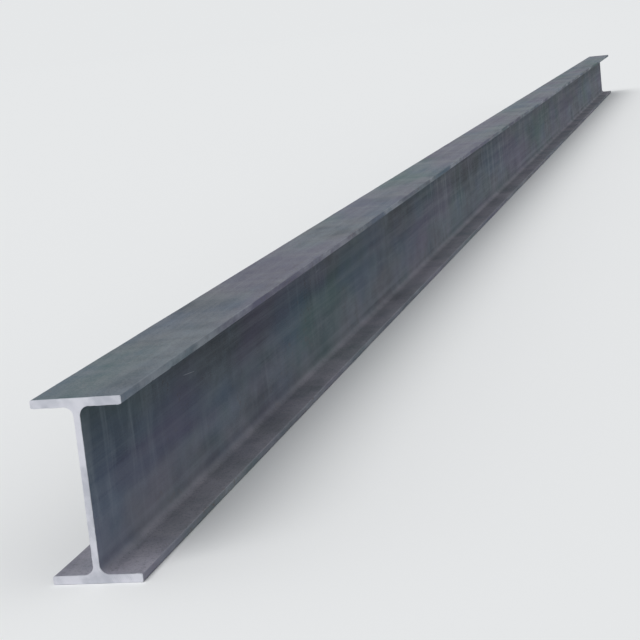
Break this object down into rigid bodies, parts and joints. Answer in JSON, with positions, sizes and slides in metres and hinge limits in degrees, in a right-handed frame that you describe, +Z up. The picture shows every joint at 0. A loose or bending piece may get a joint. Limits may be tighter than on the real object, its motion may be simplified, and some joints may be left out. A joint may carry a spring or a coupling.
{
  "type": "steel h-beam",
  "caption": "Straight rolled steel beam of H section with filleted roots and square sawn ends, resting on one flange.",
  "frame": {"origin": "middle of the bottom flange's underside, halfway along the beam", "axes": "+Z up, along the web's height; +Y along the beam's length; +X across the flanges. The end at -Y is the one nearest the viewer in the picture"},
  "size_m": [0.075, 6, 0.15],
  "materials": {
    "rolled_steel": "blue-grey mill scale with fine marks along the length, pale dusty tops and bright sawn ends"
  },
  "bodies": {
    "root": {"h_beam": "rolled_steel"}
  },
  "joints": []
}
